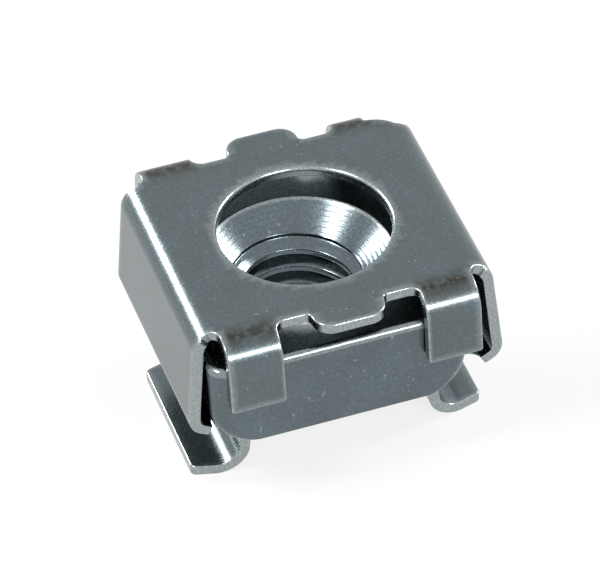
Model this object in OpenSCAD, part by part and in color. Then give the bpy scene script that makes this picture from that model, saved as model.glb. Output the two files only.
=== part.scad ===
// Rack cage nut, M6: a square nut held loosely in a folded spring-steel cage.
// The cage is one sheet: a flat plate with a hole, four tabs folded down over the
// nut's ends, and two sprung legs that wrap under the nut and end in hooked lips.
// Origin: under the middle of the screw hole, at the level of the lips' undersides.
// X runs across the two lips, Y along them, Z up. Millimetres.

/* [Sheet] */
// Thickness of the spring steel
sheet_t = 0.5; // [0.4:0.05:0.6]
// Diameter of the plain hole in the plate
screw_hole_d = 7.7; // [6.8:0.1:8.2]
// Rounding of that hole's upper rim
rim_round = 0.2; // [0.1:0.05:0.3]
// Outer radius of the bends between plate and legs
leg_bend_r = 1.1; // [0.9:0.05:1.3]

/* [Nut] */
// Width of the nut, across the lips
nut_w = 11.7; // [11.2:0.1:12.2]
// Length of the nut, along the lips
nut_len = 11.7; // [11.2:0.1:12.2]
// Height of the nut
nut_h = 4.4; // [4:0.1:4.8]
// Radius of the nut's two long lower corners, which sit in the legs
nut_belly_r = 1.7; // [1.3:0.1:2]
// Radius of the nut's upright corners
nut_corner_r = 0.8; // [0.5:0.1:1.2]
// Radius of the nut's upper edges
nut_edge_r = 0.3; // [0.15:0.05:0.4]
// Bore of the M6 thread, over its crests
thread_bore_d = 5; // [4.9:0.05:5.2]
// Diameter of the lead-in at the nut's top
lead_in_d = 8.6; // [7.6:0.1:9]
// Depth of that lead-in cone
lead_in_depth = 1.5; // [1.2:0.1:2]
// Diameter of the small lead-in at the nut's underside
entry_d = 6.2; // [5.8:0.1:6.6]

/* [Play of the nut] */
// Free play on each side of the nut, between the legs
side_play = 0.55; // [0.4:0.05:0.8]
// Free play at each end of the nut, between the tabs
end_play = 0.5; // [0.3:0.05:0.7]
// Gap between the nut's top and the plate
head_gap = 1.03; // [0.6:0.01:1.2]
// Clearance where the nut rests on a leg
seat_gap = 0.03; // [0.02:0.01:0.06]
// Where the nut lies across its side play, from -1 to 1
slide_x = -0.95; // [-1:0.05:1]
// Where the nut lies along its end play, from -1 to 1
slide_y = -0.9; // [-1:0.05:1]

/* [Legs] */
// Length of each leg along the lips, beside the nut
leg_len = 10.6; // [10:0.1:11]
// Outward lean of the legs when nothing squeezes them, in degrees
leg_lean = 5.5; // [4:0.5:8]
// Outer radius of the curl at a leg's foot
curl_r = 0.9; // [0.8:0.05:1]
// Slope of the shelf under the nut, in degrees
shelf_slope = 28; // [24:1:32]
// Side of the square panel hole that the necks pass through
panel_hole = 9.5; // [9.3:0.1:9.7]
// Play of each neck in the panel hole
neck_play = 0.05; // [0.03:0.01:0.15]
// Outward lean of the necks, in degrees
neck_lean = 6; // [4:1:8]
// Length of each neck along the lips
neck_len = 8; // [7.4:0.1:8.4]
// Inner radius of the bend from shelf to neck
neck_bend_r = 0.35; // [0.25:0.05:0.45]
// Height from the lips' undersides to the plate's top
total_h = 9.8; // [9.6:0.1:10.4]

/* [Lips] */
// Inner radius of the hook from neck to lip
hook_r = 1; // [0.8:0.05:1.1]
// Reach of each lip's free edge from the middle
lip_reach = 6.8; // [6.4:0.1:7]
// Length of a lip's free edge
lip_len = 6.8; // [6.2:0.1:7.2]
// Rounding of the lips' free corners
lip_corner_r = 0.3; // [0.2:0.05:0.5]

/* [Tabs and tongues] */
// Distance from the middle to a tab's inner edge
tab_inner_x = 3.25; // [3:0.05:3.5]
// How far the tabs hang below the plate's top
tab_drop = 3.42; // [3:0.02:3.8]
// Outer radius of the bends between plate and tabs
tab_bend_r = 1.25; // [1:0.05:1.4]
// Outward lean of the tabs, in degrees
tab_lean = 3; // [2:0.5:4]
// Rounding in the notches beside the tabs
notch_r = 0.5; // [0.3:0.05:0.6]
// Half width of the tongue between two notches
tongue_half = 1.65; // [1.5:0.05:1.8]
// How far a tongue reaches past the notch floors
tongue_reach = 1.12; // [0.9:0.02:1.2]
// Radius of a tongue's corners
tongue_r = 0.85; // [0.6:0.05:0.9]
// Radius at a tongue's roots
tongue_root_r = 0.25; // [0.15:0.05:0.3]
// Radius of the slots between tabs and legs
slot_r = 0.45; // [0.35:0.05:0.5]
// How far a slot's round end reaches past the leg's end, towards the middle
slot_bite = 0.12; // [0.05:0.01:0.2]
// Width of the one tab that has its outer shoulder cut away
cut_tab_w = 1.55; // [1.3:0.05:1.8]
// Radius of that shoulder
shoulder_r = 2.4; // [2.2:0.05:2.6]

/* [Hidden] */
$fn = 96;
far = 30;                                    // reach of the cutters
zinc = [0.62, 0.65, 0.67];
nut_zinc = [0.55, 0.58, 0.6];

// Levels of the nut in its cage, and how far it has slid
plate_under = total_h - sheet_t;
nut_top = plate_under - head_gap;
nut_bottom = nut_top - nut_h;
nut_x = slide_x*side_play;
nut_y = slide_y*end_play;

// A line is a normal and an offset along it; this is where two lines meet
function turn(a, b) = a[0]*b[1] - a[1]*b[0];
function meet(p, q) =
    [p[1]*q[0][1] - q[1]*p[0][1], p[0][0]*q[1] - q[0][0]*p[1]]/turn(p[0], q[0]);

// The leg's outer face passes the nut's upper edge with the side play
leg_face_x = nut_w/2 + side_play + sheet_t/cos(leg_lean);
leg_corner = [leg_face_x - (total_h - nut_top)*tan(leg_lean), total_h];
leg_normal = [cos(leg_lean), sin(leg_lean)];
plate_half = leg_corner[0] - leg_bend_r*tan((90 - leg_lean)/2);

// The shelf's underside clears the belly of a nut that has slid all the way to it
belly = [nut_w/2 + side_play - nut_belly_r, nut_bottom + nut_belly_r];
shelf_normal = [sin(shelf_slope), -cos(shelf_slope)];
shelf_offset = shelf_normal*belly + nut_belly_r + seat_gap + sheet_t;

// The neck's outer face ends at the top of the hook, just inside the panel hole
hook_top = [panel_hole/2 - neck_play, sheet_t + hook_r*(1 - sin(neck_lean))];
neck_normal = [cos(neck_lean), sin(neck_lean)];
neck_top = meet([shelf_normal, shelf_offset], [neck_normal, neck_normal*hook_top]);

// Places along Y, and the slots between tabs and legs
leg_half = leg_len/2;
tab_face_y = nut_len/2 + end_play + sheet_t/cos(tab_lean);
tab_corner = [tab_face_y - (total_h - nut_top)*tan(tab_lean), total_h];
tab_normal = [cos(tab_lean), sin(tab_lean)];
fold_y = tab_corner[0] - tab_bend_r*tan((90 - tab_lean)/2);
lap = 1;                                     // how far a folded strip runs back into the plate
tip_over = 0.1;                              // how far a corner's cutter runs past the corner
slot_nick = 0.02;                            // how far a slot cuts into the flat plate
slot_centre = [plate_half + slot_r - slot_nick, leg_half - slot_bite + slot_r];
tab_outer_x = slot_centre[0] - slot_r;

// Levels where one plan cutter hands over to the next
waist_z = nut_bottom + nut_h/2;
neck_z = (neck_top[1] + hook_top[1])/2;

// An outline given by its corners, counter-clockwise, and the radius of each, 0 for sharp.
// The tip beyond a corner's arc is cut off where the corner points out, and filled in
// where it points in.
module rounded(corners, radii) {
    n = len(corners);
    back = [for (i = [0:n - 1]) unit(corners[(i + n - 1)%n] - corners[i])];
    ahead = [for (i = [0:n - 1]) unit(corners[(i + 1)%n] - corners[i])];
    points_out = [for (i = [0:n - 1]) turn(ahead[i], back[i]) > 0];

    module tip(i) {
        half = acos(back[i]*ahead[i])/2;
        run = radii[i]/tan(half);
        inward = unit(back[i] + ahead[i]);
        difference() {
            polygon([corners[i] + run*back[i], corners[i] + run*ahead[i],
                     corners[i] - tip_over*inward]);
            translate(corners[i] + radii[i]/sin(half)*inward) circle(radii[i]);
        }
    }

    difference() {
        union() {
            polygon(corners);
            for (i = [0:n - 1]) if (radii[i] > 0 && !points_out[i]) tip(i);
        }
        for (i = [0:n - 1]) if (radii[i] > 0 && points_out[i]) tip(i);
    }
}

// A folded strip seen on edge. Its outer face follows the lines from start to end, and its
// inner face lies one thickness behind; bends are 1 where it turns in and -1 where it turns out.
module strip(lines, start, end, outer_r, bends) {
    last = len(lines) - 1;
    inner_r = outer_r - sheet_t*bends;
    behind = [for (l = lines) [l[0], l[1] - sheet_t]];
    inner = [start - sheet_t*lines[0][0], each bend_corners(behind), end - sheet_t*lines[last][0]];
    outer = [start, each bend_corners(lines), end];
    rounded(concat(inner, reversed(outer)),
            concat([0], inner_r, [0, 0], reversed(outer_r), [0]));
}

function unit(v) = v/norm(v);
function reversed(v) = [for (i = [len(v) - 1:-1:0]) v[i]];
function bend_corners(lines) = [for (i = [1:len(lines) - 1]) meet(lines[i - 1], lines[i])];

// One leg on edge, from inside the plate to the lip's free edge
module leg_section() {
    strip([[[0, 1], total_h], [leg_normal, leg_normal*leg_corner], [shelf_normal, shelf_offset],
           [neck_normal, neck_normal*hook_top], [[0, 1], sheet_t]],
          [plate_half - lap, total_h], [lip_reach, sheet_t],
          [leg_bend_r, curl_r, neck_bend_r, hook_r], [1, 1, -1, -1]);
}

// One tab on edge, from inside the plate to its free edge
module tab_section() {
    strip([[[0, 1], total_h], [tab_normal, tab_normal*tab_corner]],
          [fold_y - lap, total_h], tab_corner + tab_drop*[tan(tab_lean), -1],
          [tab_bend_r], [1]);
}

// Plan of the slot between a leg's end and a tab, open to the outside
module slot_plan() {
    translate(slot_centre) circle(slot_r);
    translate([slot_centre[0], leg_half]) square(far);
    translate([tab_outer_x, slot_centre[1]]) square(far);
}

// Plan of what is cut away where a leg narrows to its neck
module shelf_plan() {
    fillet_r = leg_half - neck_len/2;
    fillet_x = panel_hole/2 + neck_bend_r;
    translate([fillet_x, leg_half]) circle(fillet_r);
    translate([0, neck_len/2]) square([fillet_x, far]);
    translate([0, leg_half]) square(far);
}

// Plan of half a lip: neck width first, then a taper to the rounded free corner
module lip_plan() {
    rounded([[0, 0], [lip_reach, 0], [lip_reach, lip_len/2], [hook_top[0], neck_len/2],
             [0, neck_len/2]],
            [0, 0, lip_corner_r, 0, 0]);
}

// A plan shape made solid between two levels
module between(low, high) {
    translate([0, 0, low]) linear_extrude(high - low) children();
}

// A section in the XZ plane made solid along Y, to the same length both ways
module along_y(half) {
    rotate([90, 0, 0]) linear_extrude(2*half, center = true) children();
}

// A section drawn in Y and Z made solid along X
module along_x(from, to) {
    translate([from, 0, 0]) rotate([90, 0, 90]) linear_extrude(to - from) children();
}

// Both halves of something that is the same in front and behind
module front_and_back() {
    children();
    mirror([0, 1, 0]) children();
}

module left_and_right() {
    children();
    mirror([1, 0, 0]) children();
}

// The right leg: shelf, neck and lip are cut from the strip that the leg is folded from
module leg() {
    difference() {
        along_y(slot_centre[1]) leg_section();
        front_and_back() {
            between(neck_z, waist_z) shelf_plan();
            between(-1, neck_z) difference() {
                square(far);
                lip_plan();
            }
        }
    }
}

// The tongue that stands out between two notches, rounded at its tip and roots
module tongue_plan() {
    half_root = tongue_half + tongue_root_r;
    tip_y = fold_y + tongue_reach;
    rounded([[-half_root, 0], [half_root, 0], [half_root, fold_y], [tongue_half, fold_y],
             [tongue_half, tip_y], [-tongue_half, tip_y], [-tongue_half, fold_y],
             [-half_root, fold_y]],
            [0, 0, 0, tongue_root_r, tongue_r, tongue_r, tongue_root_r, 0]);
}

// The flat plate between the bends, with its two tongues
module plate() {
    between(plate_under, total_h) {
        square([2*plate_half, 2*fold_y], center = true);
        front_and_back() tongue_plan();
    }
}

// One tab, with the notch's round corner where it leaves the plate
module tab() {
    corner_x = tab_inner_x - notch_r;
    difference() {
        along_x(corner_x, tab_outer_x) tab_section();
        between(-1, total_h + 1) {
            translate([corner_x, fold_y + notch_r]) circle(notch_r);
            translate([0, fold_y + notch_r]) square([tab_inner_x, far]);
        }
    }
}

// The screw hole, with a rounded upper rim
module screw_hole() {
    r = screw_hole_d/2;
    between(-1, total_h + 1) circle(r);
    rotate_extrude() difference() {
        translate([0, total_h - rim_round]) square([r + rim_round, 1]);
        translate([r + rim_round, total_h - rim_round]) circle(rim_round);
    }
}

// One tab is narrower, and its outer shoulder is rounded off into the slot beside it
module shoulder_cut() {
    cut_x = tab_inner_x + cut_tab_w;
    slot_angle = 20;                             // where on the slot's round end the shoulder lands
    low = slot_centre - slot_r*[sin(slot_angle), cos(slot_angle)];
    centre_y = fold_y + tab_bend_r/4 - shoulder_r;
    centre_x = low[0] - sqrt(shoulder_r*shoulder_r - (low[1] - centre_y)*(low[1] - centre_y));
    between(waist_z, total_h + 1) difference() {
        translate([cut_x, centre_y]) square([low[0] - cut_x, far]);
        translate([centre_x, centre_y]) circle(shoulder_r);
    }
}

// The whole cage, one folded sheet
module cage() {
    color(zinc)
    difference() {
        union() {
            plate();
            left_and_right() {
                leg();
                front_and_back() tab();
            }
        }
        left_and_right() front_and_back() between(waist_z, total_h + 1) slot_plan();
        shoulder_cut();
        screw_hole();
    }
}

// A block's section, standing on y = 0 around the middle of X
module block_section(width, height, low_r, high_r) {
    rounded([[-width/2, 0], [width/2, 0], [width/2, height], [-width/2, height]],
            [low_r, low_r, high_r, high_r]);
}

// The nut's block: each direction's section rounds its own edges
module nut_block() {
    intersection() {
        along_y(nut_len) block_section(nut_w, nut_h, nut_belly_r, nut_edge_r);
        along_x(-nut_w, nut_w) block_section(nut_len, nut_h, 0, nut_edge_r);
        between(-1, nut_h + 1) translate([0, -nut_len/2])
            block_section(nut_w, nut_len, nut_corner_r, nut_corner_r);
    }
}

// The thread's bore, with a wide lead-in at the top and a short one at the bottom
module thread_hole() {
    r = thread_bore_d/2;
    translate([0, 0, -1]) cylinder(h = nut_h + 2, r = r);
    translate([0, 0, nut_h - lead_in_depth])
        cylinder(h = lead_in_depth, r1 = r, r2 = lead_in_d/2);
    between(nut_h, nut_h + 1) circle(lead_in_d/2);
    cylinder(h = entry_d/2 - r, r1 = entry_d/2, r2 = r);
    between(-1, 0) circle(entry_d/2);
}

module square_nut() {
    color(nut_zinc)
    translate([nut_x, nut_y, nut_bottom])
        difference() {
            nut_block();
            thread_hole();
        }
}

cage();
square_nut();
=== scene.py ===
"""A rack cage nut: a threaded square nut held in a folded spring-steel cage.

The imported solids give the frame. The cage and the nut are built here again as smooth
surfaces with rounded edges, a cut thread and a zinc-plated finish.
"""

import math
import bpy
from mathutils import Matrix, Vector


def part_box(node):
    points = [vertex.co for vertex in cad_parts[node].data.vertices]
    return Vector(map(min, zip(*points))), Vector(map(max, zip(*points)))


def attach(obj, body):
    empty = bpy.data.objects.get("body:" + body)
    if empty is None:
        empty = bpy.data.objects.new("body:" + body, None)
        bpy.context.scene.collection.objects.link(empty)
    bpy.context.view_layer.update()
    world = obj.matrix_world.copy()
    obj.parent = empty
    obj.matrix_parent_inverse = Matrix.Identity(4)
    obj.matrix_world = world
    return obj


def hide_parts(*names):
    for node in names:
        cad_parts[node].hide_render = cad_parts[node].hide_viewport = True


bl_info = {
    "name": "Rack cage nut",
    "version": (1, 0, 0),
    "blender": (4, 5, 0),
    "location": "View3D > Sidebar > Cage nut",
    "description": "Builds a zinc-plated rack cage nut and a plain studio around it",
    "category": "Object",
}

import bpy
import numpy as np
from bpy.props import FloatProperty, FloatVectorProperty, PointerProperty
from mathutils import Matrix
from mathutils.geometry import delaunay_2d_cdt

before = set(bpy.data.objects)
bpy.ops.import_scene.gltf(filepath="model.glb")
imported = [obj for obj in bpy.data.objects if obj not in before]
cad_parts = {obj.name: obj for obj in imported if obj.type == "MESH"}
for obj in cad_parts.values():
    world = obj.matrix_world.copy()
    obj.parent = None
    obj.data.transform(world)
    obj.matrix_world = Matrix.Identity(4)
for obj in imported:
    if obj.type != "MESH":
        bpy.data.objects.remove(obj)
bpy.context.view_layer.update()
NUT_LOW, NUT_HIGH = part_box("square_nut")
CAGE_LOW, CAGE_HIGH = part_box("cage")

MM = 0.001


# ---------------------------------------------------------------- settings

def length(name, description, default):
    """A length in metres that can be changed in the sidebar."""
    return FloatProperty(name=name, description=description, default=default,
                         unit="LENGTH", precision=6, min=0.0)


def tint(name, description, default):
    """A linear colour that can be changed in the sidebar."""
    return FloatVectorProperty(name=name, description=description, default=default,
                               subtype="COLOR", size=3, min=0.0, max=1.0)


class CageSizes(bpy.types.PropertyGroup):
    sheet_t: length("Sheet", "Thickness of the spring steel", 0.5 * MM)
    hole_r: length("Screw hole radius", "Radius of the plain hole in the plate", 3.85 * MM)
    rim_r: length("Hole rim", "Rounding of the screw hole's upper rim", 0.2 * MM)
    roll_r: length("Rolled edge", "Rounding of the sheet's edges on the outer face", 0.09 * MM)
    burr_r: length("Burr edge", "Rounding of the sheet's edges on the inner face", 0.05 * MM)
    leg_bend_r: length("Leg bend", "Outer radius between plate and leg", 1.1 * MM)
    leg_half: length("Leg half length", "Half the length of a leg along the lips", 5.3 * MM)
    curl_r: length("Curl", "Outer radius of the curl at a leg's foot", 0.9 * MM)
    neck_half: length("Neck half length", "Half the length of a neck", 4.0 * MM)
    neck_x: length("Neck reach", "Outer face of a neck at its hook, from the middle", 4.7 * MM)
    neck_bend_r: length("Neck bend", "Inner radius from shelf to neck", 0.35 * MM)
    hook_r: length("Hook", "Inner radius from neck to lip", 1.0 * MM)
    lip_reach: length("Lip reach", "Free edge of a lip, from the middle", 6.8 * MM)
    lip_half: length("Lip half length", "Half the length of a lip's free edge", 3.4 * MM)
    lip_corner_r: length("Lip corner", "Rounding of a lip's free corners", 0.3 * MM)
    tab_inner: length("Tab inner edge", "Inner edge of a tab, from the middle", 3.25 * MM)
    tab_drop: length("Tab drop", "How far the tabs hang below the plate's top", 3.42 * MM)
    tab_bend_r: length("Tab bend", "Outer radius between plate and tab", 1.25 * MM)
    notch_r: length("Notch", "Rounding in the notches beside the tabs", 0.5 * MM)
    tongue_half: length("Tongue half width", "Half the width of a tongue", 1.65 * MM)
    tongue_reach: length("Tongue reach", "How far a tongue passes the notch floors", 1.12 * MM)
    tongue_r: length("Tongue corner", "Radius of a tongue's corners", 0.85 * MM)
    slot_r: length("Slot", "Radius of the slots between tabs and legs", 0.45 * MM)
    cut_tab_w: length("Cut tab", "Width of the one narrower tab", 1.55 * MM)
    leg_lean: FloatProperty(name="Leg lean", description="Outward lean of the legs",
                            default=math.radians(5.5), subtype="ANGLE")
    neck_lean: FloatProperty(name="Neck lean", description="Outward lean of the necks",
                             default=math.radians(6), subtype="ANGLE")
    tab_lean: FloatProperty(name="Tab lean", description="Outward lean of the tabs",
                            default=math.radians(3), subtype="ANGLE")
    shelf_slope: FloatProperty(name="Shelf slope",
                               description="Slope of the shelves under the nut",
                               default=math.radians(28),
                               subtype="ANGLE")


class NutSizes(bpy.types.PropertyGroup):
    side_play: length("Side play", "Free play on each side of the nut", 0.55 * MM)
    end_play: length("End play", "Free play at each end of the nut", 0.5 * MM)
    seat_gap: length("Seat gap", "Clearance where the nut rests on a leg", 0.03 * MM)
    belly_r: length("Belly", "Radius of the two long lower corners", 1.7 * MM)
    corner_r: length("Corner", "Radius of the upright corners", 0.8 * MM)
    edge_r: length("Upper edge", "Radius of the upper edges", 0.3 * MM)
    foot_r: length("Lower edge", "Radius of the lower edges at the nut's ends", 0.12 * MM)
    thread_r: length("Thread bore", "Radius over the thread's crests", 2.5 * MM)
    pitch: length("Pitch", "Pitch of the thread", 1.0 * MM)
    lead_r: length("Lead-in", "Radius of the lead-in at the nut's top", 4.3 * MM)
    lead_depth: length("Lead-in depth", "Depth of that lead-in", 1.5 * MM)
    entry_r: length("Entry", "Radius of the small lead-in underneath", 3.1 * MM)


class ZincFinish(bpy.types.PropertyGroup):
    sheet: tint("Sheet zinc", "Plating on the cage", (0.138, 0.163, 0.168))
    sheet_cool: tint("Cool zinc", "Bluer patches of that plating", (0.145, 0.182, 0.2))
    nut: tint("Nut zinc", "Plating on the nut", (0.13, 0.157, 0.168))
    strain: tint("Strain marks", "Brownish marks where the sheet was folded hard",
                 (0.05, 0.046, 0.034))
    # Bright metal colour for specks, scratches and the edge mask; along the edges it is wear and a
    # painted highlight as well
    bare_metal_and_highlight: tint("Bare edge", "Bright metal along sheared edges", (0.55, 0.6, 0.6))
    grain: FloatProperty(name="Grain", description="Size of the plating's grain, per metre",
                         default=8500.0, min=1.0)


class StudioSettings(bpy.types.PropertyGroup):
    lens: FloatProperty(name="Lens", description="Focal length in millimetres", default=300.0)
    distance: length("Camera distance", "From the camera to the middle of its view", 0.218436)
    floor: tint("Floor", "Colour of the floor", (0.9, 0.9, 0.9))
    fill: FloatProperty(name="Fill", description="Strength of the world on matt surfaces",
                        default=0.35)


# ---------------------------------------------------------------- plane shapes

def unit(v):
    """Vectors divided by their own lengths."""
    v = np.asarray(v, float)
    return v / np.linalg.norm(v, axis=-1, keepdims=True)


def cross(a, b):
    """The z part of the cross product of plane vectors."""
    return a[..., 0] * b[..., 1] - a[..., 1] * b[..., 0]


def meet(n1, d1, n2, d2):
    """Where two lines meet, each given by its normal and its offset along that normal."""
    return np.linalg.solve(np.array([n1, n2], float), np.array([d1, d2], float))


def rounded_loop(corners, radii, step):
    """A closed outline with an arc at each corner, counter-clockwise.

    Each corner gives way to the arc that touches both its sides, whose centre lies on the
    bisector at radius over sine of the half angle. Arcs and straight runs are sampled at
    about one step. Returns the points and the normals that point out of the outline.
    """
    corners = np.asarray(corners, float)
    radii = np.asarray(radii, float)
    back = unit(np.roll(corners, 1, 0) - corners)
    ahead = unit(np.roll(corners, -1, 0) - corners)
    half = np.arccos(np.clip((back * ahead).sum(1), -1, 1)) / 2
    run = radii / np.tan(half)
    centre = corners + unit(back + ahead) * (radii / np.sin(half))[:, None]
    side = np.sign(cross(ahead, back))
    first = corners + back * run[:, None]
    last = corners + ahead * run[:, None]
    points, normals = [], []
    for i in range(len(corners)):
        j = (i + 1) % len(corners)
        sweep = math.pi - 2 * half[i]
        n = max(3, math.ceil(sweep * radii[i] / step))
        a0 = math.atan2(*(first[i] - centre[i])[::-1])
        angle = a0 + side[i] * sweep * np.linspace(0, 1, n + 1)
        ring = np.stack([np.cos(angle), np.sin(angle)], 1)
        points.append(centre[i] + radii[i] * ring)
        normals.append(side[i] * ring)
        gap = first[j] - last[i]
        n = max(1, math.ceil(np.linalg.norm(gap) / step))
        t = (np.arange(1, n) / n)[:, None]
        points.append(last[i] + t * gap)
        normals.append(np.tile(unit([gap[1], -gap[0]]), (n - 1, 1)))
    return np.concatenate(points), np.concatenate(normals)


class FoldedPath:
    """The outer face of a folded strip seen on edge, as a function of the length along it.

    The path follows a line of corners, each rounded to its radius. Along a straight run
    the heading is constant; round a bend it changes evenly with length, so the place is
    the integral of the heading's cosine and sine. Length is counted from the first bend.
    """

    def __init__(self, corners, radii):
        corners = np.asarray(corners, float)
        step = np.diff(corners, axis=0)
        heading = np.unwrap(np.arctan2(step[:, 1], step[:, 0]))
        turn = np.diff(heading)
        run = np.asarray(radii) * np.tan(np.abs(turn) / 2)
        flats = np.linalg.norm(step, axis=1)
        flats[:-1] -= run
        flats[1:] -= run
        self.start = corners[1] - run[0] * unit(step[0])
        self.pieces = []
        s, place = 0.0, self.start
        for i, angle in enumerate(turn):
            arc = radii[i] * abs(angle)
            self.pieces.append((s, arc, place, heading[i], angle / arc))
            chord = np.array([math.sin(heading[i + 1]) - math.sin(heading[i]),
                              math.cos(heading[i]) - math.cos(heading[i + 1])])
            place = place + chord / (angle / arc)
            s += arc
            self.pieces.append((s, flats[i + 1], place, heading[i + 1], 0.0))
            place = place + flats[i + 1] * np.array([math.cos(heading[i + 1]),
                                                     math.sin(heading[i + 1])])
            s += flats[i + 1]
        self.length = s

    def at(self, s):
        """Place, direction along the path and outward normal at each length s."""
        s = np.asarray(s, float)
        place = np.zeros(s.shape + (2,))
        heading = np.zeros(s.shape)
        for s0, span, p0, h0, k in self.pieces:
            here = s >= s0 - 1e-12
            d = s - s0
            h = h0 + k * np.minimum(d, span) if k else np.full(s.shape, h0)
            if k:
                dx, dy = (np.sin(h) - math.sin(h0)) / k, (math.cos(h0) - np.cos(h)) / k
            else:
                dx, dy = d * math.cos(h0), d * math.sin(h0)
            place[here] = (p0 + np.stack([dx, dy], -1))[here]
            heading[here] = h[here]
        normal = np.stack([-np.sin(heading), np.cos(heading)], -1)
        along = np.stack([np.cos(heading), np.sin(heading)], -1)
        return place, along, normal

    def rows(self, bend_step, flat_step):
        """Lengths at which the path is sampled: finely in bends, coarsely on flats."""
        out = []
        for s0, span, _, _, k in self.pieces:
            step = bend_step / abs(k) if k else flat_step
            n = max(1, math.ceil(span / step))
            out.append(s0 + span * np.arange(n) / n)
        return np.concatenate(out + [[self.length]])


def inside(points, loop):
    """Whether each point lies inside a closed loop: an odd number of sides crossed."""
    a, b = loop, np.roll(loop, -1, 0)
    x, y = points[:, 0, None], points[:, 1, None]
    spans = (a[:, 1] > y) != (b[:, 1] > y)
    with np.errstate(divide="ignore", invalid="ignore"):
        cut = a[:, 0] + (y - a[:, 1]) * (b[:, 0] - a[:, 0]) / (b[:, 1] - a[:, 1])
    return (spans & (x < cut)).sum(1) % 2 == 1


def nearest(points, loop):
    """Distance from each point to the closest sample of a loop."""
    gap = points[:, None, :] - loop[None, :, :]
    return np.sqrt((gap ** 2).sum(2).min(1))


# ---------------------------------------------------------------- meshes

def mesh_object(name, verts, faces, normals=None, masks=None):
    """An object at the origin from arrays of corners, faces and normals, with its masks."""
    mesh = bpy.data.meshes.new(name)
    mesh.from_pydata(verts, [], faces)
    mesh.update()
    mesh.shade_smooth()
    for key, values in (masks or {}).items():
        layer = mesh.attributes.new(key, "FLOAT", "POINT")
        layer.data.foreach_set("value", np.ascontiguousarray(values, dtype=np.float32))
    if normals is not None:
        mesh.normals_split_custom_set_from_vertices(normals)
    obj = bpy.data.objects.new(name, mesh)
    bpy.context.scene.collection.objects.link(obj)
    return obj


def ring_faces(rings, count, offset=0):
    """Quads between successive closed rings, each ring with the same count of points."""
    i = np.arange(rings - 1)[:, None] * count
    j = np.arange(count)[None, :]
    k = (j + 1) % count
    quads = np.stack([i + j, i + k, i + count + k, i + count + j], -1)
    return quads.reshape(-1, 4) + offset


# ---------------------------------------------------------------- the cage

class CageShape:
    """The cage's folds, worked out from its sizes and from the nut that it holds."""

    def __init__(self, c, n):
        top, t = CAGE_HIGH.z, c.sheet_t
        nut_w, nut_len = NUT_HIGH.x - NUT_LOW.x, NUT_HIGH.y - NUT_LOW.y
        drop = top - NUT_HIGH.z
        lean, slope, neck = c.leg_lean, c.shelf_slope, c.neck_lean
        corner_x = nut_w / 2 + n.side_play + t / math.cos(lean) - drop * math.tan(lean)
        leg_n = np.array([math.cos(lean), math.sin(lean)])
        leg_d = leg_n @ [corner_x, top]
        shelf_n = np.array([math.sin(slope), -math.cos(slope)])
        belly = np.array([nut_w / 2 + n.side_play - n.belly_r, NUT_LOW.z + n.belly_r])
        shelf_d = shelf_n @ belly + n.belly_r + n.seat_gap + t
        neck_n = np.array([math.cos(neck), math.sin(neck)])
        neck_d = neck_n @ [c.neck_x, t + c.hook_r * (1 - math.sin(neck))]
        self.leg = FoldedPath(
            [[0, top], [corner_x, top], meet(leg_n, leg_d, shelf_n, shelf_d),
             meet(shelf_n, shelf_d, neck_n, neck_d), meet(neck_n, neck_d, [0, 1], t),
             [c.lip_reach, t]],
            [c.leg_bend_r, c.curl_r, c.neck_bend_r, c.hook_r])
        tab = c.tab_lean
        tab_y = nut_len / 2 + n.end_play + t / math.cos(tab) - drop * math.tan(tab)
        self.tab = FoldedPath(
            [[0, top], [tab_y, top], [tab_y + c.tab_drop * math.tan(tab), top - c.tab_drop]],
            [c.tab_bend_r])
        self.plate_half = self.leg.start[0]
        self.fold_y = self.tab.start[0]
        self.top = top
        self.tab_from = (c.tab_inner - c.notch_r + c.tongue_half) / 2

    def fold(self, u, v, w):
        """Places on the folded sheet of points on the flat blank.

        u and v are the blank's plane and w the height above its outer face. Past the
        plate's sides the distance runs on along the legs' path, past its ends along the
        tabs' path, and w is laid off along the path's normal.
        Returns the place, and the directions of u, of v and out of the outer face.
        """
        zero, one = np.zeros_like(u), np.ones_like(u)
        place = np.stack([u, v, self.top + w], -1)
        du = np.stack([one, zero, zero], -1)
        dv = np.stack([zero, one, zero], -1)
        out = np.stack([zero, zero, one], -1)

        leg = np.abs(u) > self.plate_half
        sign = np.sign(u[leg])
        p, along, n = self.leg.at(np.abs(u[leg]) - self.plate_half)
        p = p + w[leg, None] * n
        place[leg] = np.stack([sign * p[:, 0], v[leg], p[:, 1]], -1)
        du[leg] = np.stack([along[:, 0], 0 * sign, sign * along[:, 1]], -1)
        out[leg] = np.stack([sign * n[:, 0], 0 * sign, n[:, 1]], -1)

        tab = ~leg & (np.abs(v) > self.fold_y) & (np.abs(u) > self.tab_from)
        sign = np.sign(v[tab])
        p, along, n = self.tab.at(np.abs(v[tab]) - self.fold_y)
        p = p + w[tab, None] * n
        place[tab] = np.stack([u[tab], sign * p[:, 0], p[:, 1]], -1)
        dv[tab] = np.stack([0 * sign, along[:, 0], sign * along[:, 1]], -1)
        out[tab] = np.stack([0 * sign, sign * n[:, 0], n[:, 1]], -1)
        return place, du, dv, out


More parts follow.
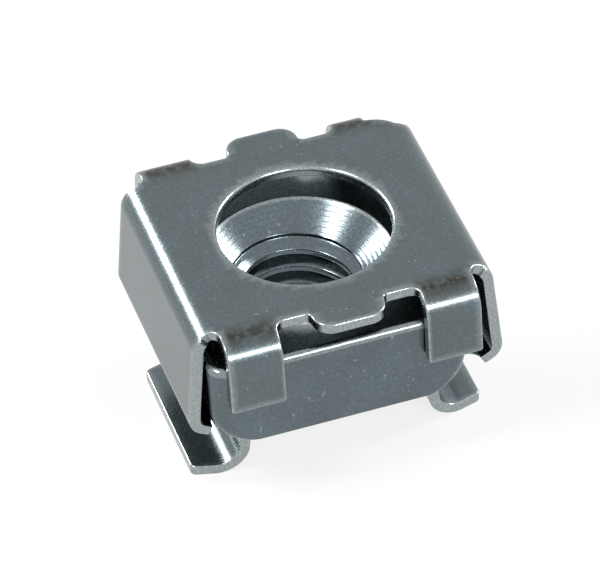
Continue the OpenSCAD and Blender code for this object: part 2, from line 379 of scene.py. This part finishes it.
def blank_quarter(c, shape, shoulder):
    """Corners and radii of a quarter of the flat blank, from a lip's middle to a tongue's."""
    leg, half, fine = shape.leg, shape.plate_half, 0.12 * MM
    curl_end = leg.pieces[3]
    hook, lip = leg.pieces[6], leg.pieces[7]
    foot_reach, root_r = 1.7 * MM, 0.25 * MM
    foot_x = c.neck_x + foot_reach
    foot = half + curl_end[0] + (curl_end[2][0] - foot_x) / math.cos(c.shelf_slope)
    taper = (lip[2][0] - c.neck_x) / (c.lip_reach - c.neck_x)
    lip_root = c.neck_half + taper * (c.lip_half - c.neck_half)
    slot_bite, slot_nick, shoulder_r = 0.12 * MM, 0.02 * MM, 2.1 * MM
    bite = c.leg_half - slot_bite
    slot_x = half - slot_nick
    tab_end = shape.fold_y + shape.tab.length
    tongue = shape.fold_y + c.tongue_reach
    fillet = c.leg_half - c.neck_half - fine
    points = [
        (half + leg.length, c.lip_half, c.lip_corner_r),
        (half + lip[0], lip_root, fine * 4), (half + hook[0], c.neck_half, fine * 4),
        (foot, c.neck_half, fillet), (foot, c.leg_half, fine * 0.9),
        (slot_x + 2 * c.slot_r + fine * 0.3, c.leg_half, fine),
        (slot_x + 1.7 * c.slot_r, bite, fine)]
    if shoulder:
        cut = c.tab_inner + c.cut_tab_w
        points += [(half + 0.28 * MM, bite + 0.02 * MM, fine),
                   (half - 0.24 * MM, shape.fold_y + 0.13 * MM, shoulder_r),
                   (cut, shape.fold_y + 0.27 * MM, fine), (cut, tab_end, fine)]
    else:
        points += [(slot_x, bite, c.slot_r), (slot_x, tab_end, fine)]
    points += [(c.tab_inner, tab_end, fine), (c.tab_inner, shape.fold_y, c.notch_r),
               (c.tongue_half, shape.fold_y, root_r), (c.tongue_half, tongue, c.tongue_r)]
    return np.array(points)


def blank_outline(c, shape, step):
    """The whole blank's outline: four quarters, one of them with the cut shoulder."""
    plain, cut = blank_quarter(c, shape, False), blank_quarter(c, shape, True)
    corners = np.concatenate([cut, (plain * [-1, 1, 1])[::-1], plain * [-1, -1, 1],
                              (plain * [1, -1, 1])[::-1]])
    return rounded_loop(corners[:, :2], corners[:, 2], step)


def edge_rings(top_r, low_r, thick, steps=4):
    """The sheet's edge in section, from the outer face to the inner one.

    A quarter arc of the top radius, the straight cut, and a quarter arc of the low radius.
    Rows of inset from the outline, height, and the normal's share outwards and upwards.
    """
    a = np.linspace(0, math.pi / 2, steps + 1)
    s, co = np.sin(a), np.cos(a)
    top = np.stack([top_r * (1 - s), -top_r * (1 - co), s, co], 1)
    low = np.stack([low_r * (1 - s), -thick + low_r * (1 - co), s, -co], 1)[::-1]
    rows = np.concatenate([top, low])
    border = max(top_r, low_r)
    if low_r < border:
        rows = np.concatenate([rows, [[border, -thick, 0, -1]]])
    return rows


def build_cage(c, n):
    """The folded sheet: both faces triangulated over the blank, and its edges swept round it."""
    shape = CageShape(c, n)
    step = 0.11 * MM
    outline, out_n = blank_outline(c, shape, step)
    angle = -np.linspace(0, 2 * math.pi, 241)[:-1]
    ring = np.stack([np.cos(angle), np.sin(angle)], 1)
    loops = [(outline, out_n, edge_rings(c.roll_r, c.burr_r, c.sheet_t)),
             (c.hole_r * ring, -ring, edge_rings(c.rim_r, c.burr_r, c.sheet_t, 6))]

    # Inner points of both faces, on a grid that is fine across every bend
    bend_step, flat_step = math.radians(6), 0.38 * MM
    plate = np.linspace(-shape.plate_half, shape.plate_half, 31)
    deep = np.linspace(-shape.fold_y, shape.fold_y, 30)
    legs = shape.plate_half + shape.leg.rows(bend_step, flat_step)
    tabs = shape.fold_y + shape.tab.rows(bend_step, flat_step)
    legs, tabs = np.concatenate([-legs, legs]), np.concatenate([-tabs, tabs])
    sets = [np.meshgrid(plate, deep), np.meshgrid(legs, deep), np.meshgrid(plate, tabs)]
    grid = np.concatenate([np.stack([a.ravel(), b.ravel()], 1) for a, b in sets])
    grid = np.unique(grid, axis=0)
    border = [p - m * rows[0, 0] for p, m, rows in loops]
    grid = grid[inside(grid, outline)]
    keep_off = 0.09 * MM
    for loop in border:
        grid = grid[nearest(grid, loop) > keep_off]
    grid = grid[(grid ** 2).sum(1) > (c.hole_r + c.rim_r) ** 2]

    # One flat triangulation serves both faces
    flat = np.concatenate(border + [grid])
    edges, start = [], 0
    for loop in border:
        i = np.arange(len(loop))
        edges.append(np.stack([i, np.roll(i, -1)], 1) + start)
        start += len(loop)
    result = delaunay_2d_cdt((flat / MM).tolist(), np.concatenate(edges).tolist(), [], 1, 1e-6)
    source = np.array(result[3])[:, 0]
    tris = source[np.array(result[2])]
    on_hole = (tris >= len(outline)) & (tris < start)
    tris = tris[~on_hole.all(1)]
    turned = cross(flat[tris[:, 1]] - flat[tris[:, 0]], flat[tris[:, 2]] - flat[tris[:, 0]]) < 0
    tris[turned] = tris[turned][:, ::-1]

    # Rows of points: the grid on both faces, then each loop's rings
    u, v, w, share, side, edge_highlight_and_wear_mask = [grid[:, 0]] * 2, [grid[:, 1]] * 2, [], [], [], []
    w += [np.zeros(len(grid)), np.full(len(grid), -c.sheet_t)]
    share += [np.tile([0.0, 1.0], (len(grid), 1)), np.tile([0.0, -1.0], (len(grid), 1))]
    side += [np.zeros((len(grid), 2))] * 2
    edge_highlight_and_wear_mask += [np.zeros(len(grid))] * 2
    faces = []
    top_id, low_id = np.zeros(len(flat), int), np.zeros(len(flat), int)
    inner = sum(len(b) for b in border)
    top_id[inner:] = np.arange(len(grid))
    low_id[inner:] = np.arange(len(grid)) + len(grid)
    offset, seen = 2 * len(grid), 0
    for points, normal, rows in loops:
        count = len(points)
        for inset, height, outwards, upwards in rows:
            at = points - inset * normal
            u.append(at[:, 0])
            v.append(at[:, 1])
            w.append(np.full(count, height))
            share.append(np.tile([outwards, upwards], (count, 1)))
            side.append(normal)
            # The edge mask paints bright metal round every edge ring, most where the section faces
            # outwards: wear and a painted highlight along the edges
            edge_highlight_and_wear_mask.append(np.full(count, 1.0 if outwards > 0.3 else 0.5))
        faces.append(ring_faces(len(rows), count, offset)[:, ::-1])
        top_id[seen:seen + count] = offset + np.arange(count)
        low_id[seen:seen + count] = offset + (len(rows) - 1) * count + np.arange(count)
        offset += len(rows) * count
        seen += count
    u, v, w, share, side, edge_highlight_and_wear_mask = map(np.concatenate, (u, v, w, share, side, edge_highlight_and_wear_mask))
    place, du, dv, out = shape.fold(u, v, w)
    normals = unit(share[:, :1] * (side[:, :1] * du + side[:, 1:] * dv) + share[:, 1:] * out)
    all_faces = (top_id[tris].tolist() + low_id[tris][:, ::-1].tolist()
                 + np.concatenate(faces).tolist())

    # Strain shows at the start of each tab's fold and fades towards the plate
    past = (np.abs(v) - shape.fold_y) / (c.tab_bend_r * math.pi / 2)
    wide = np.abs(u)
    on_tab = np.clip((wide - c.tab_inner + 0.3 * MM) / (0.4 * MM), 0, 1)
    on_tab *= np.clip((shape.plate_half - 0.1 * MM - wide) / (0.3 * MM), 0, 1)
    strain = np.clip(1 - np.abs(past - 0.12) / 0.42, 0, 1) * on_tab * (share[:, 1] > 0.5)
    place = np.clip(place, CAGE_LOW, CAGE_HIGH)
    return mesh_object("cage_sheet", place, all_faces, normals,
                       {"edge": edge_highlight_and_wear_mask, "strain": strain})


# ---------------------------------------------------------------- the nut

def plan_ring(half_x, half_y, r, corner_n, flat_n):
    """A rounded oblong's outline, counter-clockwise from the +Y end of +X's side.

    Four quarter arcs and four straight runs with fixed numbers of points, so that rings
    of different sizes match point for point.
    """
    t = np.linspace(0, 1, flat_n + 1)[:-1]
    a = np.linspace(0, math.pi / 2, corner_n + 1)[:-1]
    middle = np.array([half_x - r, half_y - r])
    quarters = np.array([(1, 1), (-1, 1), (-1, -1), (1, -1)])
    runs = []
    for k in range(4):
        start, stop = math.pi / 2 * k, math.pi / 2 * (k + 1)
        centre, following = quarters[k] * middle, quarters[(k + 1) % 4] * middle
        arc = centre + r * np.stack([np.cos(a + start), np.sin(a + start)], 1)
        end = centre + r * np.array([math.cos(stop), math.sin(stop)])
        runs += [arc, end + t[:, None] * (following - centre)]
    return np.concatenate(runs)


def thread_profile(phase, depth):
    """Depth of the thread beyond its crests, for the phase within one pitch.

    Crest flats of a quarter of the pitch, root flats of an eighth and sixty-degree flanks
    between, with the corners eased by a smooth step.
    """
    q = np.abs(phase % 1.0 - 0.5) * 2
    x = np.clip((q - 0.25) / 0.625, 0, 1)
    return depth * (0.35 * x * x * (3 - 2 * x) + 0.65 * x)


def build_nut(n):
    """The nut: rings round its outside from the bottom up, then down through its hole.

    Outside, each ring is a rounded oblong whose halves follow the belly's and the edges'
    arcs. Inside, the radius is the largest of the lead-in cone, the entry cone and the
    helical thread, whose phase is the height over the pitch less the share of a turn.
    """
    corner_n, flat_n = 14, 46
    half_x, half_y = (NUT_HIGH.x - NUT_LOW.x) / 2, (NUT_HIGH.y - NUT_LOW.y) / 2
    mid_x, mid_y = (NUT_HIGH.x + NUT_LOW.x) / 2, (NUT_HIGH.y + NUT_LOW.y) / 2
    height = NUT_HIGH.z - NUT_LOW.z
    count = 4 * (corner_n + flat_n)
    fine = 0.03 * MM

    belly = np.linspace(0, math.pi / 2, 25)
    z = list(n.belly_r * (1 - np.cos(belly))) + [n.belly_r + fine, height - n.edge_r - fine]
    edge = np.linspace(0, math.pi / 2, 9)
    z += list(height - n.edge_r + n.edge_r * np.sin(edge))
    z = np.array(sorted(z + list(n.foot_r * (1 - np.cos(np.linspace(0.3, math.pi / 2, 5))))
                        + [n.foot_r + fine]))
    low = np.clip(n.belly_r - z, 0, None)
    foot = np.clip(n.foot_r - z, 0, None)
    top = np.clip(z - height + n.edge_r, 0, None)
    in_x = n.belly_r - np.sqrt(n.belly_r ** 2 - low ** 2) + n.edge_r - np.sqrt(
        np.clip(n.edge_r ** 2 - top ** 2, 0, None))
    in_y = n.foot_r - np.sqrt(n.foot_r ** 2 - foot ** 2) + n.edge_r - np.sqrt(
        np.clip(n.edge_r ** 2 - top ** 2, 0, None))
    rings = []
    top_in = n.edge_r + fine
    for zi, ix, iy in zip(z, in_x, in_y):
        r = n.corner_r - (iy if zi > height / 2 else 0)
        xy = plan_ring(half_x - ix, half_y - iy, r, corner_n, flat_n)
        rings.append(np.column_stack([xy, np.full(count, zi)]))
    xy = plan_ring(half_x - top_in, half_y - top_in, n.corner_r - n.edge_r, corner_n, flat_n)
    rings.append(np.column_stack([xy, np.full(count, height)]))

    theta = np.arctan2(rings[0][:, 1], rings[0][:, 0])
    circle = np.stack([np.cos(theta), np.sin(theta)], 1)
    rim = 0.1 * MM
    slope = (n.lead_r - n.thread_r) / n.lead_depth
    tilt = math.atan(slope)
    for a in np.linspace(0, math.pi / 2 - tilt, 5):
        r = n.lead_r + rim * math.tan((math.pi / 2 - tilt) / 2) - rim * math.sin(a)
        level = height - rim * (1 - math.cos(a))
        rings.append(np.column_stack([circle * r, np.full(count, level)]))
    down = np.concatenate([np.arange(height - 0.08 * MM, 0.02 * MM, -0.03 * MM), [0.0]])
    depth = 0.56 * n.pitch
    for zi in down:
        turns = theta / (2 * math.pi)
        cut = n.thread_r + thread_profile(zi / n.pitch - turns, depth)
        cone = n.lead_r - (height - zi) * slope
        entry = n.entry_r - zi
        r = np.maximum(np.maximum(cut, cone), entry)
        rings.append(np.column_stack([circle * r[:, None], np.full(count, zi)]))

    verts = np.concatenate(rings)
    outer = len(z) + 1
    faces = ring_faces(len(rings), count)
    last = (len(rings) - 1) * count
    j = np.arange(count)
    k = (j + 1) % count
    floor = np.stack([last + j, last + k, k, j], 1)
    edge_highlight_and_wear_mask = np.zeros(len(verts))
    ring_id = np.arange(len(verts)) // count
    zv = verts[:, 2]
    # The edge mask paints bright metal on the upper edges and the lead-in's rim: wear and a
    # painted highlight there
    edge_highlight_and_wear_mask[(ring_id < outer) & (zv > height - n.edge_r * 1.05)] = 1.0
    edge_highlight_and_wear_mask[(ring_id >= outer) & (ring_id < outer + 6)] = 1.0
    verts = verts + [mid_x, mid_y, NUT_LOW.z]
    bore = (ring_id >= outer).astype(float)
    return mesh_object("nut_block", verts, faces.tolist() + floor.tolist(), None,
                       {"edge": edge_highlight_and_wear_mask, "bore": bore})


# ---------------------------------------------------------------- finishes

class Nodes:
    """Short calls for laying nodes into a tree."""

    def __init__(self, tree):
        self.tree = tree

    def add(self, kind, **values):
        node = self.tree.nodes.new(kind)
        for key, value in values.items():
            setattr(node, key, value)
        return node

    def link(self, source, target):
        self.tree.links.new(source, target)

    def feed(self, socket, value):
        if isinstance(value, bpy.types.NodeSocket):
            self.tree.links.new(value, socket)
        else:
            socket.default_value = value

    def math(self, operation, a, b=0.0, clamp=False):
        node = self.add("ShaderNodeMath", operation=operation, use_clamp=clamp)
        self.feed(node.inputs[0], a)
        self.feed(node.inputs[1], b)
        return node.outputs[0]

    def ramp(self, value, low, high, out_low=0.0, out_high=1.0):
        node = self.add("ShaderNodeMapRange", interpolation_type="SMOOTHSTEP")
        for socket, v in zip(node.inputs, (value, low, high, out_low, out_high)):
            self.feed(socket, v)
        return node.outputs[0]

    def noise(self, vector, scale, detail=2.0, roughness=0.5):
        node = self.add("ShaderNodeTexNoise")
        self.feed(node.inputs["Vector"], vector)
        self.feed(node.inputs["Scale"], scale)
        self.feed(node.inputs["Detail"], detail)
        self.feed(node.inputs["Roughness"], roughness)
        return node.outputs[0]

    def mix(self, factor, a, b):
        node = self.add("ShaderNodeMix", data_type="RGBA")
        self.feed(node.inputs[0], factor)
        self.feed(node.inputs[6], a)
        self.feed(node.inputs[7], b)
        return node.outputs[2]


def group(name, inputs, outputs):
    """A shader node group with named sockets, and its tree, input and output nodes."""
    tree = bpy.data.node_groups.new(name, "ShaderNodeTree")
    for kind, label, value in inputs:
        socket = tree.interface.new_socket(name=label, in_out="INPUT", socket_type=kind)
        if value is not None:
            socket.default_value = value
    for kind, label in outputs:
        tree.interface.new_socket(name=label, in_out="OUTPUT", socket_type=kind)
    nodes = Nodes(tree)
    return tree, nodes, nodes.add("NodeGroupInput"), nodes.add("NodeGroupOutput")


def zinc_grain_group():
    """Cloudy patches, fine grain and bright specks of electroplated zinc."""
    tree, k, gin, gout = group(
        "Zinc grain",
        [("NodeSocketVector", "Vector", None), ("NodeSocketFloat", "Scale", 8500.0)],
        [("NodeSocketFloat", "Cloud"), ("NodeSocketFloat", "Grain"), ("NodeSocketFloat", "Specks"),
         ("NodeSocketFloat", "Height")])
    vector, scale = gin.outputs[0], gin.outputs[1]
    cloud = k.noise(vector, k.math("MULTIPLY", scale, 0.06), 2.0, 0.5)
    grain = k.noise(vector, scale, 4.0, 0.65)
    spots = k.noise(vector, k.math("MULTIPLY", scale, 0.55), 2.0, 0.5)
    k.link(k.ramp(cloud, 0.3, 0.7), gout.inputs[0])
    k.link(k.ramp(grain, 0.3, 0.7), gout.inputs[1])
    k.link(k.ramp(spots, 0.68, 0.76), gout.inputs[2])
    k.link(k.math("ADD", grain, k.math("MULTIPLY", cloud, 1.5)), gout.inputs[3])
    return tree


def handling_marks_group():
    """Short fine scratches and rubs: noise stretched along two crossing directions."""
    tree, k, gin, gout = group(
        "Handling marks",
        [("NodeSocketVector", "Vector", None), ("NodeSocketFloat", "Scale", 500.0)],
        [("NodeSocketFloat", "Marks")])
    out = None
    for turn, stretch in (((0.3, 0.2, 0.5), (0.12, 2.2, 1.0)),
                          ((-0.5, 0.4, -0.9), (2.4, 0.15, 1.3))):
        node = k.add("ShaderNodeMapping")
        k.feed(node.inputs["Vector"], gin.outputs[0])
        node.inputs["Rotation"].default_value = turn
        node.inputs["Scale"].default_value = stretch
        marks = k.ramp(k.noise(node.outputs[0], gin.outputs[1], 3.0, 0.6), 0.69, 0.74)
        out = marks if out is None else k.math("MAXIMUM", out, marks)
    k.link(out, gout.inputs[0])
    return tree


def turning_marks_group():
    """Fine steps left by a turning tool: waves in height, one to each pitch."""
    tree, k, gin, gout = group(
        "Turning marks",
        [("NodeSocketVector", "Vector", None), ("NodeSocketFloat", "Pitch", 0.16 * MM)],
        [("NodeSocketFloat", "Rings")])
    split = k.add("ShaderNodeSeparateXYZ")
    k.feed(split.inputs[0], gin.outputs[0])
    turns = k.math("DIVIDE", split.outputs[2], gin.outputs[1])
    wave = k.math("SINE", k.math("MULTIPLY", turns, 2 * math.pi))
    k.link(k.ramp(wave, -1.0, 1.0), gout.inputs[0])
    return tree


def edge_highlight_and_wear_group():
    """Where an edge mask paints bright metal, wear and a painted highlight along the edges, broken
    up by the grain.
    """
    tree, k, gin, gout = group(
        "Edge wear",
        [("NodeSocketFloat", "Edge", 0.0), ("NodeSocketFloat", "Grain", 0.5),
         ("NodeSocketFloat", "Amount", 0.6)],
        [("NodeSocketFloat", "Wear")])
    painted_edge_highlight_and_wear = k.math("MULTIPLY", gin.outputs[0], k.ramp(gin.outputs[1], 0.0, 1.0, 0.6, 1.0))
    k.link(k.math("MULTIPLY", painted_edge_highlight_and_wear, gin.outputs[2], clamp=True), gout.inputs[0])
    return tree


def zinc_material(name, base, second, finish, groups, highlight_and_wear_amount, rough, marks):
    """Zinc plate: metal whose colour and roughness vary by the shared groups."""
    mat = bpy.data.materials.new(name)
    mat.use_nodes = True
    tree = mat.node_tree
    shader = tree.nodes["Principled BSDF"]
    k = Nodes(tree)
    place = k.add("ShaderNodeTexCoord").outputs["Object"]

    def placed(tree_group, **values):
        node = k.add("ShaderNodeGroup", node_tree=tree_group)
        for key, value in values.items():
            k.feed(node.inputs[key], value)
        return node.outputs

    edge = k.add("ShaderNodeAttribute", attribute_name="edge").outputs["Fac"]
    strain = k.add("ShaderNodeAttribute", attribute_name="strain").outputs["Fac"]
    grain = placed(groups["grain"], Vector=place, Scale=finish.grain)
    scratch = placed(groups["marks"], Vector=place, Scale=420.0)[0]
    painted_edge_highlight_and_wear = placed(groups["highlight_and_wear_amount"], Edge=edge, Grain=grain["Grain"], Amount=highlight_and_wear_amount)[0]

    colour = k.mix(grain["Cloud"], (*base, 1), (*second, 1))
    dark = tuple(0.72 * v for v in base)
    colour = k.mix(k.ramp(grain["Grain"], 0.2, 1.0, 0.5, 0.0), colour, (*dark, 1))
    stain = k.noise(place, finish.grain * 0.3, 4.0, 0.75)
    stain = k.math("MULTIPLY", strain, k.ramp(stain, 0.38, 0.56, 0.35, 1.0), clamp=True)
    colour = k.mix(stain, colour, (*finish.strain, 1))
    # Bright metal mixed in for specks, scratches and the edge mask; along the edges that is wear
    # and a painted highlight
    bright_metal_and_highlight = k.math("MULTIPLY", grain["Specks"], 0.35)
    bright_metal_and_highlight = k.math("MAXIMUM", bright_metal_and_highlight, k.math("MULTIPLY", scratch, marks))
    bright_metal_and_highlight = k.math("MAXIMUM", bright_metal_and_highlight, painted_edge_highlight_and_wear)
    colour = k.mix(bright_metal_and_highlight, colour, (*finish.bare_metal_and_highlight, 1))
    k.link(colour, shader.inputs["Base Color"])
    shader.inputs["Metallic"].default_value = 1.0

    uneven = k.ramp(grain["Grain"], 0.0, 1.0, rough - 0.03, rough + 0.04)
    k.link(k.math("ADD", uneven, k.math("MULTIPLY", stain, 0.15)), shader.inputs["Roughness"])
    bump = k.add("ShaderNodeBump")
    bump.inputs["Strength"].default_value = 0.07
    bump.inputs["Distance"].default_value = 0.01 * MM
    bore = k.add("ShaderNodeAttribute", attribute_name="bore").outputs["Fac"]
    rings = placed(groups["turning"], Vector=place, Pitch=0.16 * MM)[0]
    height = k.math("SUBTRACT", grain["Height"], k.math("MULTIPLY", scratch, 1.5))
    height = k.math("ADD", height, k.math("MULTIPLY", k.math("MULTIPLY", rings, bore), 8.0))
    k.link(height, bump.inputs["Height"])
    k.link(bump.outputs[0], shader.inputs["Normal"])
    return mat


def studio_world(fill):
    """White for what the camera and shiny surfaces see, a plain level for matt ones."""
    world = bpy.data.worlds.new("Studio")
    world.use_nodes = True
    k = Nodes(world.node_tree)
    background = world.node_tree.nodes["Background"]
    path = k.add("ShaderNodeLightPath").outputs
    seen = k.math("MAXIMUM", k.math("MAXIMUM", path["Is Camera Ray"], path["Is Glossy Ray"]),
                  path["Is Transmission Ray"])
    k.link(k.ramp(seen, 0.0, 1.0, fill, 1.0), background.inputs["Strength"])
    background.inputs["Color"].default_value = (1, 1, 1, 1)
    bpy.context.scene.world = world


def floor_material(colour):
    """A pale matt floor that is nearly white to the camera and keeps a faint shadow."""
    mat = bpy.data.materials.new("Pale floor")
    mat.use_nodes = True
    tree = mat.node_tree
    k = Nodes(tree)
    shader, output = tree.nodes["Principled BSDF"], tree.nodes["Material Output"]
    shader.inputs["Base Color"].default_value = (*colour, 1)
    shader.inputs["Roughness"].default_value = 0.9
    shader.inputs["Specular IOR Level"].default_value = 0.1
    glow = k.add("ShaderNodeEmission")
    path = k.add("ShaderNodeLightPath").outputs
    seen = k.math("MAXIMUM", k.math("MAXIMUM", path["Is Camera Ray"], path["Is Glossy Ray"]),
                  path["Is Transmission Ray"])
    blend = k.add("ShaderNodeMixShader")
    k.link(k.math("MULTIPLY", seen, 0.8), blend.inputs[0])
    k.link(shader.outputs[0], blend.inputs[1])
    k.link(glow.outputs[0], blend.inputs[2])
    k.link(blend.outputs[0], output.inputs["Surface"])
    return mat


def softbox(name, azimuth, elevation, distance, size, power):
    """A square lamp that faces the part from a direction, in degrees; azimuth 0 is in front."""
    a, e = math.radians(azimuth), math.radians(elevation)
    back = np.array([math.sin(a) * math.cos(e), -math.cos(a) * math.cos(e), math.sin(e)])
    side = unit([math.cos(a), math.sin(a), 0.0])
    aim = [0, 0, 5 * MM]
    over = np.cross(back, side)
    lamp = bpy.data.lights.new(name, "AREA")
    lamp.shape = "RECTANGLE"
    lamp.size, lamp.size_y = size
    lamp.energy = power
    obj = bpy.data.objects.new(name, lamp)
    bpy.context.scene.collection.objects.link(obj)
    turn = Matrix(np.column_stack([side, over, back]).tolist()).to_4x4()
    obj.matrix_world = Matrix.Translation(back * distance + aim) @ turn
    return obj


# ---------------------------------------------------------------- operators

def zinc_groups():
    """The shared node groups, built once."""
    makers = {"grain": ("Zinc grain", zinc_grain_group),
              "marks": ("Handling marks", handling_marks_group),
              "turning": ("Turning marks", turning_marks_group),
              "highlight_and_wear_amount": ("Edge wear", edge_highlight_and_wear_group)}
    return {key: bpy.data.node_groups.get(name) or make()
            for key, (name, make) in makers.items()}


class CAGENUT_OT_cage(bpy.types.Operator):
    """Builds the folded spring-steel cage"""
    bl_idname = "cage_nut.build_cage"
    bl_label = "Build cage"

    def execute(self, context):
        s = context.scene
        cage = build_cage(s.cage_sizes, s.nut_sizes)
        f = s.zinc_finish
        cage.data.materials.append(zinc_material(
            "Zinc on spring steel", f.sheet, f.sheet_cool, f, zinc_groups(),
            highlight_and_wear_amount=0.55, rough=0.24, marks=0.12))
        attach(cage, "root")
        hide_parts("cage")
        return {"FINISHED"}


class CAGENUT_OT_nut(bpy.types.Operator):
    """Builds the threaded square nut"""
    bl_idname = "cage_nut.build_nut"
    bl_label = "Build nut"

    def execute(self, context):
        s = context.scene
        nut = build_nut(s.nut_sizes)
        f = s.zinc_finish
        nut.data.materials.append(zinc_material(
            "Zinc on nut steel", f.nut, f.sheet_cool, f, zinc_groups(),
            highlight_and_wear_amount=0.35, rough=0.22, marks=0.3))
        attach(nut, "root")
        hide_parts("square_nut")
        return {"FINISHED"}


class CAGENUT_OT_stage(bpy.types.Operator):
    """Sets up the floor, the lamps, the world and the camera"""
    bl_idname = "cage_nut.build_stage"
    bl_label = "Build stage"

    def execute(self, context):
        s = context.scene
        studio = s.studio_settings
        reach = 1.0
        floor = mesh_object("floor", [(-reach, -reach, 0), (reach, -reach, 0), (reach, reach, 0),
                                      (-reach, reach, 0)], [(0, 1, 2, 3)])
        floor.data.materials.append(floor_material(studio.floor))
        studio_world(studio.fill)
        softbox("right softbox", 94, 28, 0.2, (0.05, 0.04), 0.22)
        softbox("left softbox", -79, 50, 0.2, (0.04, 0.03), 0.18)
        softbox("front softbox", 15, 31, 0.22, (0.09, 0.03), 0.22)
        softbox("back softbox", -142, 26, 0.2, (0.08, 0.03), 0.28)

        right = np.array([0.9465, -0.3206, -0.0381])
        up = np.array([0.2399, 0.6190, 0.7480])
        back = np.cross(right, up)
        target = np.array([-0.8256, -1.6040, 7.795]) * MM
        camera = bpy.data.cameras.new("camera")
        camera.lens = studio.lens
        camera.sensor_width = 36.0
        camera.clip_start = 0.01
        distance = studio.distance
        obj = bpy.data.objects.new("camera", camera)
        s.collection.objects.link(obj)
        turn = Matrix(np.column_stack([right, up, back]).tolist()).to_4x4()
        obj.matrix_world = Matrix.Translation(target + back * distance) @ turn
        s.camera = obj
        s.view_settings.view_transform = "Standard"
        return {"FINISHED"}


class CAGENUT_PT_panel(bpy.types.Panel):
    """Lists the operators and the settings"""
    bl_label = "Cage nut"
    bl_idname = "CAGENUT_PT_panel"
    bl_space_type = "VIEW_3D"
    bl_region_type = "UI"
    bl_category = "Cage nut"

    def draw(self, context):
        for cls in OPERATORS:
            self.layout.operator(cls.bl_idname)
        for name in SETTINGS:
            box = self.layout.box()
            group_settings = getattr(context.scene, name)
            for key in group_settings.bl_rna.properties.keys():
                if key not in ("rna_type", "name"):
                    box.prop(group_settings, key)


SETTINGS = {"cage_sizes": CageSizes, "nut_sizes": NutSizes, "zinc_finish": ZincFinish,
            "studio_settings": StudioSettings}
OPERATORS = (CAGENUT_OT_stage, CAGENUT_OT_cage, CAGENUT_OT_nut)
CLASSES = (*SETTINGS.values(), *OPERATORS, CAGENUT_PT_panel)


def register():
    for cls in CLASSES:
        bpy.utils.register_class(cls)
    for name, cls in SETTINGS.items():
        setattr(bpy.types.Scene, name, PointerProperty(type=cls))


def unregister():
    for name in SETTINGS:
        delattr(bpy.types.Scene, name)
    for cls in reversed(CLASSES):
        bpy.utils.unregister_class(cls)


def main():
    """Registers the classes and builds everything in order."""
    register()
    bpy.ops.cage_nut.build_stage()
    bpy.ops.cage_nut.build_cage()
    bpy.ops.cage_nut.build_nut()


if __name__ == "__main__":
    main()
